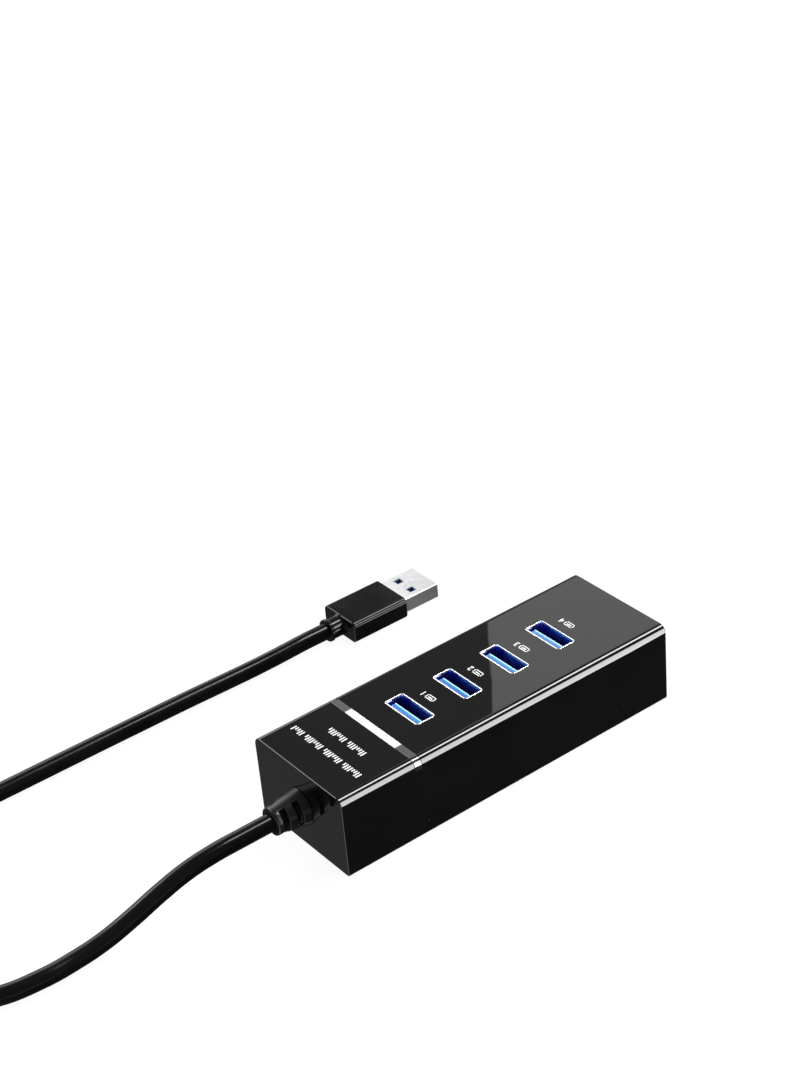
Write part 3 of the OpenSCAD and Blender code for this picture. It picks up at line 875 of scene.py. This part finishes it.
def axis_of(tree, vector, letter):
    """One coordinate of a vector"""
    parts = node(tree, "ShaderNodeSeparateXYZ")
    tree.links.new(vector, parts.inputs[0])
    return parts.outputs[letter]


def ranged(tree, value, low, high, to_low=0.0, to_high=1.0):
    """A value's range from low to high, stretched to another"""
    made = node(tree, "ShaderNodeMapRange", interpolation_type="SMOOTHSTEP")
    tree.links.new(value, made.inputs["Value"])
    for title, number in (("From Min", low), ("From Max", high), ("To Min", to_low), ("To Max", to_high)):
        made.inputs[title].default_value = number
    return made.outputs["Result"]


# %% Patches of tone
patches, patches_in, patches_out = new_group("tone_patches", {"Scale": 60.0}, ["Tone"])
cloud = node(patches, "ShaderNodeTexNoise")
cloud.inputs["Detail"].default_value = 3
feed(patches, patches_in, cloud, "Vector", "Scale")
patches.links.new(ranged(patches, cloud.outputs["Fac"], 0.35, 0.65), patches_out.inputs["Tone"])

# %% Fine grain
grain, grain_in, grain_out = new_group("fine_grain", {"Scale": 2500.0}, ["Height", "Tone"])
pits = node(grain, "ShaderNodeTexVoronoi", feature="SMOOTH_F1")
hiss = node(grain, "ShaderNodeTexNoise")
hiss.inputs["Detail"].default_value = 4
for texture in (pits, hiss):
    feed(grain, grain_in, texture, "Vector", "Scale")
grain.links.new(product(grain, pits.outputs["Distance"], hiss.outputs["Fac"]), grain_out.inputs["Height"])
grain.links.new(hiss.outputs["Fac"], grain_out.inputs["Tone"])

# %% Brushing
brush, brush_in, brush_out = new_group("brushing", {"Stretch": (40.0, 3000.0, 3000.0)}, ["Height", "Tone"])
stretch = node(brush, "ShaderNodeVectorMath", operation="MULTIPLY")
brush.links.new(brush_in.outputs["Vector"], stretch.inputs[0])
brush.links.new(brush_in.outputs["Stretch"], stretch.inputs[1])
lines = node(brush, "ShaderNodeTexNoise")
lines.inputs["Scale"].default_value = 1
lines.inputs["Detail"].default_value = 3
brush.links.new(stretch.outputs[0], lines.inputs["Vector"])
brush.links.new(lines.outputs["Fac"], brush_out.inputs["Height"])
brush.links.new(ranged(brush, lines.outputs["Fac"], 0.3, 0.7), brush_out.inputs["Tone"])

# %% Dust
dust_group, dust_in, dust_out = new_group("dust_specks", {"Scale": 260.0, "Size": 0.035}, ["Dust"])
specks = node(dust_group, "ShaderNodeTexVoronoi")
feed(dust_group, dust_in, specks, "Vector", "Scale")
close_by = maths(dust_group, "LESS_THAN", specks.outputs["Distance"], dust_in.outputs["Size"])
chance = node(dust_group, "ShaderNodeSeparateColor")
dust_group.links.new(specks.outputs["Color"], chance.inputs["Color"])
some = maths(dust_group, "GREATER_THAN", chance.outputs[0], 0.8)
dust_group.links.new(product(dust_group, close_by, some), dust_out.inputs["Dust"])
print("node groups:", [g.name for g in bpy.data.node_groups])

# %% [markdown]
# ## Finishes
#
# Most finishes differ only in numbers: two tones, a roughness range, how deep the grain
# is, and how much dust lies on them. One builder makes them, and gives back the open
# node tree for those that need something of their own.

# %% The builder of finishes
DUST_GREY, DUST_ROUGHNESS, GRAIN_HEIGHT = (0.06, 0.06, 0.06), 0.3, 0.05


def add_group(tree, group, vector, **values):
    """Places one of the shared effects, with its own values"""
    made = node(tree, "ShaderNodeGroup", node_tree=group)
    tree.links.new(vector, made.inputs["Vector"])
    for title, value in values.items():
        made.inputs[title].default_value = value
    return made


def blend_colours(tree, factor, first, second):
    """Mixes two colours, each a value or a socket"""
    mix = node(tree, "ShaderNodeMix", data_type="RGBA")
    tree.links.new(factor, mix.inputs["Factor"])
    for title, colour in (("A", first), ("B", second)):
        socket = [s for s in mix.inputs if s.name == title and s.type == "RGBA"][0]
        supply(tree, socket, (*colour, 1) if isinstance(colour, tuple) else colour)
    return [s for s in mix.outputs if s.type == "RGBA"][0]


def tint(tree, shader, mask, colour, title="Base Color"):
    """Blends what already feeds a socket into another colour where the mask is 1"""
    usual = shader.inputs[title].links[0].from_socket
    tree.links.new(blend_colours(tree, mask, usual, colour), shader.inputs[title])


def wear_it(material, *pieces):
    """Gives pieces, or CAD nodes named by a string, a material"""
    for piece in pieces:
        piece = nodes_of_cad[piece] if isinstance(piece, str) else piece
        slots = piece.data.materials
        if len(slots):
            for index in range(len(slots)):
                slots[index] = material
        else:
            slots.append(material)


def finish_of(name, tone, second_tone, smooth, rough, worn_by, grain_scale=2500, grain_depth=0.1,
              metal=0.0, brushed=None, dust=0.0, ior=1.5, coat=0.0):
    """Gives pieces a material with patches of tone, grain or brushing, and dust"""
    material = bpy.data.materials.new(name)
    material.use_nodes = True
    tree = material.node_tree
    shader = tree.nodes["Principled BSDF"]
    where = node(tree, "ShaderNodeTexCoord").outputs["Object"]
    patch = add_group(tree, patches, where)
    if brushed:
        fine = add_group(tree, brush, where, Stretch=brushed)
    else:
        fine = add_group(tree, grain, where, Scale=grain_scale)
    colour = blend_colours(tree, patch.outputs["Tone"], tone, second_tone)
    uneven = product(tree, fine.outputs["Tone"], patch.outputs["Tone"])
    roughness = ranged(tree, uneven, 0.0, 0.7, smooth, rough)
    if dust:
        specked = add_group(tree, dust_group, where, Size=dust)
        colour = blend_colours(tree, specked.outputs["Dust"], colour, DUST_GREY)
        rougher = product(tree, specked.outputs["Dust"], DUST_ROUGHNESS)
        roughness = maths(tree, "ADD", roughness, rougher, clamp=True)
    tree.links.new(colour, shader.inputs["Base Color"])
    tree.links.new(roughness, shader.inputs["Roughness"])
    bump = node(tree, "ShaderNodeBump")
    bump.inputs["Strength"].default_value = grain_depth
    bump.inputs["Distance"].default_value = GRAIN_HEIGHT * MM
    tree.links.new(fine.outputs["Height"], bump.inputs["Height"])
    tree.links.new(bump.outputs["Normal"], shader.inputs["Normal"])
    for title, value in (("Metallic", metal), ("IOR", ior), ("Coat Weight", coat), ("Coat Roughness", 0.05)):
        shader.inputs[title].default_value = value
    wear_it(material, *worn_by)
    print("finish:", name)
    return tree, shader, where


# %% Black plastics
BLACK, SECOND_BLACK = (0.003, 0.003, 0.0033), (0.005, 0.005, 0.0054)
finish_of("polished_black", (0.0022, 0.0022, 0.0024), (0.003, 0.003, 0.0032), 0.008, 0.02, [housing],
          grain_scale=900, grain_depth=0.003, dust=0.03)
finish_of("sparked_black", (0.012, 0.012, 0.013), (0.017, 0.017, 0.018), 0.42, 0.6, ["bottom_cover"],
          grain_scale=2600, grain_depth=0.6)
finish_of("cable_black", BLACK, SECOND_BLACK, 0.16, 0.24, [lead, "cable_end_in_hub", "cable_end_in_plug"],
          grain_scale=1800, dust=0.03, ior=1.3)
finish_of("grip_black", BLACK, SECOND_BLACK, 0.12, 0.2, [grip], grain_scale=2200, dust=0.03, ior=1.3)
finish_of("epoxy_black", (0.014, 0.014, 0.015), (0.024, 0.024, 0.026), 0.5, 0.7,
          ["controller_chip", "voltage_regulator", "resistors"], grain_scale=3200, grain_depth=0.5)

# %% [markdown]
# The sleeve is duller than the lead, which lets its ribs show. Below a certain distance
# from the axis, in its slots, the rubber is painted black as shade, and made quite matt.

# %% Ribbed rubber
tree, shader, where = finish_of(
    "ribbed_rubber", (0.004, 0.004, 0.0043), (0.007, 0.007, 0.0074), 0.3, 0.42, [sleeve],
    grain_scale=1600, grain_depth=0.25, dust=0.03, ior=1.45)
from_axis = node(tree, "ShaderNodeVectorMath", operation="MULTIPLY_ADD")
tree.links.new(where, from_axis.inputs[0])
from_axis.inputs[1].default_value = (0, 1, 1)
from_axis.inputs[2].default_value = (0, 0, -CABLE_AXIS_HEIGHT * MM)
radius = node(tree, "ShaderNodeVectorMath", operation="LENGTH")
tree.links.new(from_axis.outputs[0], radius.inputs[0])
slot_painted_shade = ranged(tree, radius.outputs["Value"], (COLLAR_RADIUS - 0.1) * MM, (COLLAR_RADIUS - 0.35) * MM)
# Painted shade: the faces down in the slots are coloured almost black.
tint(tree, shader, slot_painted_shade, (0.0006, 0.0006, 0.0006))
tint(tree, shader, slot_painted_shade, (1, 1, 1), "Roughness")

# %% [markdown]
# The sheet of the sockets is bright at its rim. Further down it is painted dark blue,
# painted shade with a painted reflection of the blue tongues, so its colour changes with height.

# %% Metals
finish_of("nickel_sheet", (0.76, 0.765, 0.78), (0.84, 0.84, 0.85), 0.3, 0.4, [plug_shell], metal=0.85,
          brushed=(150.0, 2500.0, 2500.0), grain_depth=0.03)
# The colour and heights of the painted shade and painted blue reflection inside the sockets.
PAINTED_SHADE_AND_REFLECTION_BLUE, PAINTED_SHADE_FROM, PAINTED_SHADE_TO = (0.16, 0.18, 0.8), BODY_HEIGHT - 0.3, BODY_HEIGHT - 0.9
tree, shader, where = finish_of("socket_nickel", (0.88, 0.89, 0.91), (0.94, 0.94, 0.95), 0.24, 0.34, shells,
                                metal=1.0, brushed=(900.0, 900.0, 150.0), grain_depth=0.006)
# Painted shade and a painted reflection of the tongues' blue, below the rim.
tint(tree, shader, ranged(tree, axis_of(tree, where, "Z"), PAINTED_SHADE_FROM * MM, PAINTED_SHADE_TO * MM), PAINTED_SHADE_AND_REFLECTION_BLUE)
finish_of("gold_flash", (0.9, 0.62, 0.22), (0.96, 0.7, 0.3), 0.12, 0.28,
          [*(f"port_{number}_contacts" for number in (1, 2, 3, 4)), "plug_contacts"],
          metal=1.0, brushed=(2000.0, 2000.0, 120.0))
finish_of("zinc_plate", (0.6, 0.61, 0.63), (0.7, 0.7, 0.7), 0.25, 0.42, ["board_screws", "chip_leads"],
          metal=1.0, grain_scale=3000, grain_depth=0.2)
finish_of("black_zinc", (0.1, 0.1, 0.105), (0.16, 0.16, 0.165), 0.25, 0.45, ["cover_screws"],
          metal=1.0, grain_depth=0.3)
finish_of("drawn_can", (0.66, 0.67, 0.69), (0.76, 0.76, 0.77), 0.2, 0.4, ["crystal", "input_capacitor"],
          metal=1.0, brushed=(1500.0, 1500.0, 200.0), grain_depth=0.15)

# %% [markdown]
# Each tongue has a painted highlight, a paler strip along its thin front edge near the tip,
# and painted shade that darkens its back, close to the metal. All four lie one pitch apart,
# so a remainder after dividing by the pitch gives the place across every one of them.

# %% Coloured plastics
tree, shader, where = finish_of("blue_nylon", (0.03, 0.22, 0.54), (0.045, 0.27, 0.6), 0.14, 0.24, tongues,
                                grain_scale=2200, grain_depth=0.06, coat=0.5)
from_back = maths(tree, "SUBTRACT", axis_of(tree, where, "X"), back_x * MM)
from_back = maths(tree, "FLOORED_MODULO", from_back, PORT_PITCH * MM)
# The mask of the painted highlight on each tongue's front edge near its tip.
front_edge_painted_highlight = product(
    tree,
    ranged(tree, from_back, (TONGUE_T - 0.75) * MM, (TONGUE_T - 0.35) * MM),
    ranged(tree, from_back, (TONGUE_T - 0.02) * MM, (TONGUE_T - 0.12) * MM),
    ranged(tree, axis_of(tree, where, "Z"), (TONGUE_TIP - 0.5) * MM, (TONGUE_TIP - 0.1) * MM))
# Painted shade darkens the back of each tongue; a painted highlight makes the front edge paler.
tint(tree, shader, ranged(tree, from_back, 0.9 * MM, 0.1 * MM), (0.008, 0.09, 0.36))
tint(tree, shader, front_edge_painted_highlight, (0.5, 0.86, 1.0))
# The plug's insert is the same blue made much darker: painted shade for where it sits inside the shell.
finish_of("plug_blue_painted_shade", (0.006, 0.03, 0.12), (0.009, 0.04, 0.16), 0.25, 0.35, ["plug_insert"],
          grain_scale=2200, grain_depth=0.08)
finish_of("core_white", (0.72, 0.7, 0.63), (0.8, 0.78, 0.71), 0.4, 0.6, ["plug_core"],
          grain_scale=1500, grain_depth=0.2)
finish_of("white_ink", (0.78, 0.79, 0.8), (0.86, 0.86, 0.87), 0.45, 0.6, [print_marks],
          grain_scale=3500, grain_depth=0.15)
finish_of("diffuser_white", (0.86, 0.87, 0.88), (0.92, 0.92, 0.92), 0.4, 0.55, ["light_diffuser"],
          grain_scale=1200)
for name, tone, second_tone, wires in (
        ("red_wire", (0.42, 0.01, 0.01), (0.55, 0.02, 0.02), "power_wires"),
        ("green_wire", (0.02, 0.24, 0.05), (0.03, 0.32, 0.08), "data_wires"),
        ("blue_wire", (0.02, 0.06, 0.38), (0.04, 0.1, 0.46), "superspeed_wires")):
    finish_of(name, tone, second_tone, 0.25, 0.4, [wires], grain_scale=1500)

# %% Parts on the board
finish_of("solder_mask", (0.008, 0.1, 0.035), (0.012, 0.15, 0.055), 0.22, 0.38, ["circuit_board"],
          grain_scale=900, grain_depth=0.3)
finish_of("fired_ceramic", (0.38, 0.24, 0.12), (0.48, 0.32, 0.17), 0.4, 0.6, ["small_capacitors"],
          grain_depth=0.3)
finish_of("lamp_phosphor", (0.85, 0.78, 0.42), (0.9, 0.85, 0.6), 0.15, 0.3, ["indicator_leds"],
          grain_scale=2000, coat=0.5)

# %% [markdown]
# The light bar is milky: grey where nothing lies below, white over the lamps, and almost
# black where it wraps down over the dark sides. The change follows the distance from
# the middle of the bar.

# %% Milky light bar
WRAPPED_GREY, LIT_WHITE = (0.012, 0.012, 0.0125), (0.86, 0.87, 0.88)
tree, shader, where = finish_of("milky_acrylic", (0.075, 0.075, 0.077), (0.09, 0.09, 0.092), 0.03, 0.06,
                                [light_bar], grain_scale=500, grain_depth=0.01, ior=1.75)
from_middle = maths(tree, "ABSOLUTE", axis_of(tree, where, "Y"))
flat_half, lit_half = half_w - TOP_ROUND, LIT_LENGTH / 2
tint(tree, shader, ranged(tree, from_middle, (flat_half - 0.1) * MM, (flat_half + 0.3) * MM), WRAPPED_GREY)
tint(tree, shader, ranged(tree, from_middle, (lit_half + 0.25) * MM, (lit_half - 0.25) * MM), LIT_WHITE)

# %% [markdown]
# ## Floor and light
#
# The table is plain and almost white. Polished black shows only what it mirrors, so the
# lights are placed by the lines that they draw on it: a tall panel to the front, cut to
# a leaning shape, makes the broad band along the front round, a narrow strip high up
# makes the thin line above it, and a wide pale wall behind gives the lid its two tones.

# %% Floor
def make_glow(piece, name, base, strength):
    """Marks a piece of the stage, which shines evenly and mirrors nothing"""
    material = bpy.data.materials.new(name)
    material.use_nodes = True
    shader = material.node_tree.nodes["Principled BSDF"]
    for title, value in (("Base Color", (base, base, base, 1)), ("Roughness", 0.9),
                         ("Specular IOR Level", 0.0), ("Emission Color", (1, 1, 1, 1)),
                         ("Emission Strength", strength)):
        shader.inputs[title].default_value = value
    piece.data.materials.append(material)
    print("stage:", piece.name)


clear_selection()
bpy.ops.mesh.primitive_plane_add(size=8, location=(0, 0, -0.0001))
floor = bpy.context.object
floor.name = "floor"
floor.visible_glossy = False
FLOOR_GREY, FLOOR_GLOW = 0.1, 0.93
make_glow(floor, "table_white", FLOOR_GREY, FLOOR_GLOW)


# %% Key panel
KEY_Y, KEY_RADIANCE = -1.2, 15
key_outline = [(0.694, 1.367), (1.06, 0.7), (0.915, 0.0), (0.98, -0.78), (0.443, -0.05), (0.46, 0.405)]
clear_selection()
bpy.ops.mesh.primitive_circle_add(vertices=len(key_outline), fill_type="NGON")
key = bpy.context.object
key.name = key.data.name = "key_panel"
for vertex, (across, height) in zip(key.data.vertices, key_outline):
    vertex.co = (across, KEY_Y, height)
key.visible_camera = False
make_glow(key, "key_glow", 0, KEY_RADIANCE)

# %% Strip lamp
STRIP_AZIMUTH, STRIP_ELEVATION, STRIP_DISTANCE = math.radians(-15), math.radians(59), 2
STRIP_WIDTH, STRIP_HEIGHT, STRIP_RADIANCE = 0.46, 0.75, 21
strip_data = bpy.data.lights.new("strip", "AREA")
strip_data.shape = "RECTANGLE"
strip_data.size, strip_data.size_y = STRIP_WIDTH, STRIP_HEIGHT
strip_data.energy = STRIP_RADIANCE * math.pi * STRIP_WIDTH * STRIP_HEIGHT
strip_lamp = put("strip", strip_data)
level = math.cos(STRIP_ELEVATION)
from_hub = STRIP_DISTANCE * Vector((
    math.cos(STRIP_AZIMUTH) * level, math.sin(STRIP_AZIMUTH) * level, math.sin(STRIP_ELEVATION)))
strip_lamp.matrix_world = Matrix.Translation(from_hub) @ from_hub.to_track_quat("Z", "Y").to_matrix().to_4x4()
print("strip lamp:", round(strip_data.energy, 1), "W")

# %% [markdown]
# A card between the panel and the lead keeps the lead black but for its thin line, and
# the side of the plug grey. Light linking is such a card: the panel lights only what is
# in its collection.

# %% A card for the lead and the plug
lit_by_key = bpy.data.collections.new("lit_by_key")
for thing in scene.objects:
    if thing.type == "MESH" and thing not in (key, plug_shell):
        lit_by_key.objects.link(thing)
key.light_linking.receiver_collection = lit_by_key

# %% [markdown]
# The room is a sky of soft-edged patches. Each is a mask over the directions around the
# hub, by azimuth counted from +X towards +Y and by height, times a brightness. All the
# patches are added up. The camera sees plain white in their place.

# %% Sky helpers
world = bpy.data.worlds.new("studio")
scene.world = world
world.use_nodes = True
sky = world.node_tree
toward = node(sky, "ShaderNodeTexCoord").outputs["Generated"]
height = axis_of(sky, toward, "Z")
azimuth = maths(sky, "ARCTAN2", axis_of(sky, toward, "Y"), axis_of(sky, toward, "X"))


def between(value, low, high, blur):
    """A soft mask that is 1 from low to high"""
    rise = ranged(sky, value, low - blur, low + blur)
    fall = ranged(sky, value, high - blur, high + blur, 1.0, 0.0)
    return product(sky, rise, fall)


def turned(low, high, blur):
    """A soft mask that is 1 between two azimuths in degrees"""
    return between(azimuth, math.radians(low), math.radians(high), math.radians(blur))


def total(first, *others):
    for other in others:
        first = maths(sky, "ADD", first, other)
    return first


# %% Room above the horizon
above = ranged(sky, height, -0.02, 0.04)
wall_right = product(sky, turned(-5, 52.4, 0.04), 1.16, ranged(sky, height, 0.72, 0.76, 1.0, 0.0))
wall_left = product(sky, turned(62, 150, 1.5), 2.4, between(height, 0.17, 0.74, 0.02))
edge_wall = product(sky, turned(92, 132, 3), between(height, 0.52, 0.7, 0.02), 6.0)
brightness = product(sky, total(wall_right, wall_left, edge_wall, 0.24), above)

# %% Room below the horizon
far_side = turned(20, 85, 5)
far_low = product(sky, far_side, between(height, -0.36, -0.08, 0.04), 0.7)
low_left = product(sky, turned(-176, -146, 4), 4.0)
below_glow = product(sky, ranged(sky, axis_of(sky, toward, "X"), -0.3, 0.3, 0.19, 0.045),
                     maths(sky, "SUBTRACT", 1.0, product(sky, far_side, 0.85)))
below_glow = total(below_glow, far_low, low_left)
brightness = total(brightness, product(sky, maths(sky, "SUBTRACT", 1.0, above), below_glow))

# %% Room near the horizon, and its white
near_horizon = between(height, -0.15, 0.03, 0.04)
for low, high, glow in ((-106, -76, 0.8), (-16, 13, 0.5)):
    brightness = total(brightness, product(sky, turned(low, high, 6), near_horizon, glow))
seen = node(sky, "ShaderNodeLightPath").outputs["Is Camera Ray"]
room = sky.nodes["Background"]
room.inputs["Color"].default_value = (1, 1, 1, 1)
sky.links.new(maths(sky, "MAXIMUM", brightness, seen), room.inputs["Strength"])
scene.view_settings.view_transform = "Standard"
print("nodes in the sky:", len(sky.nodes))

# %% [markdown]
# ## Nodes left without a finish
#
# The finished model keeps the size of the CAD model, but for print that stands a hair above
# the lid. Any CAD node that still shows but has no finish is named.

# %% Finish
for cad_name, cad_node in nodes_of_cad.items():
    if not cad_node.hide_render and not cad_node.data.materials[0].use_nodes:
        print("no finish:", cad_name)
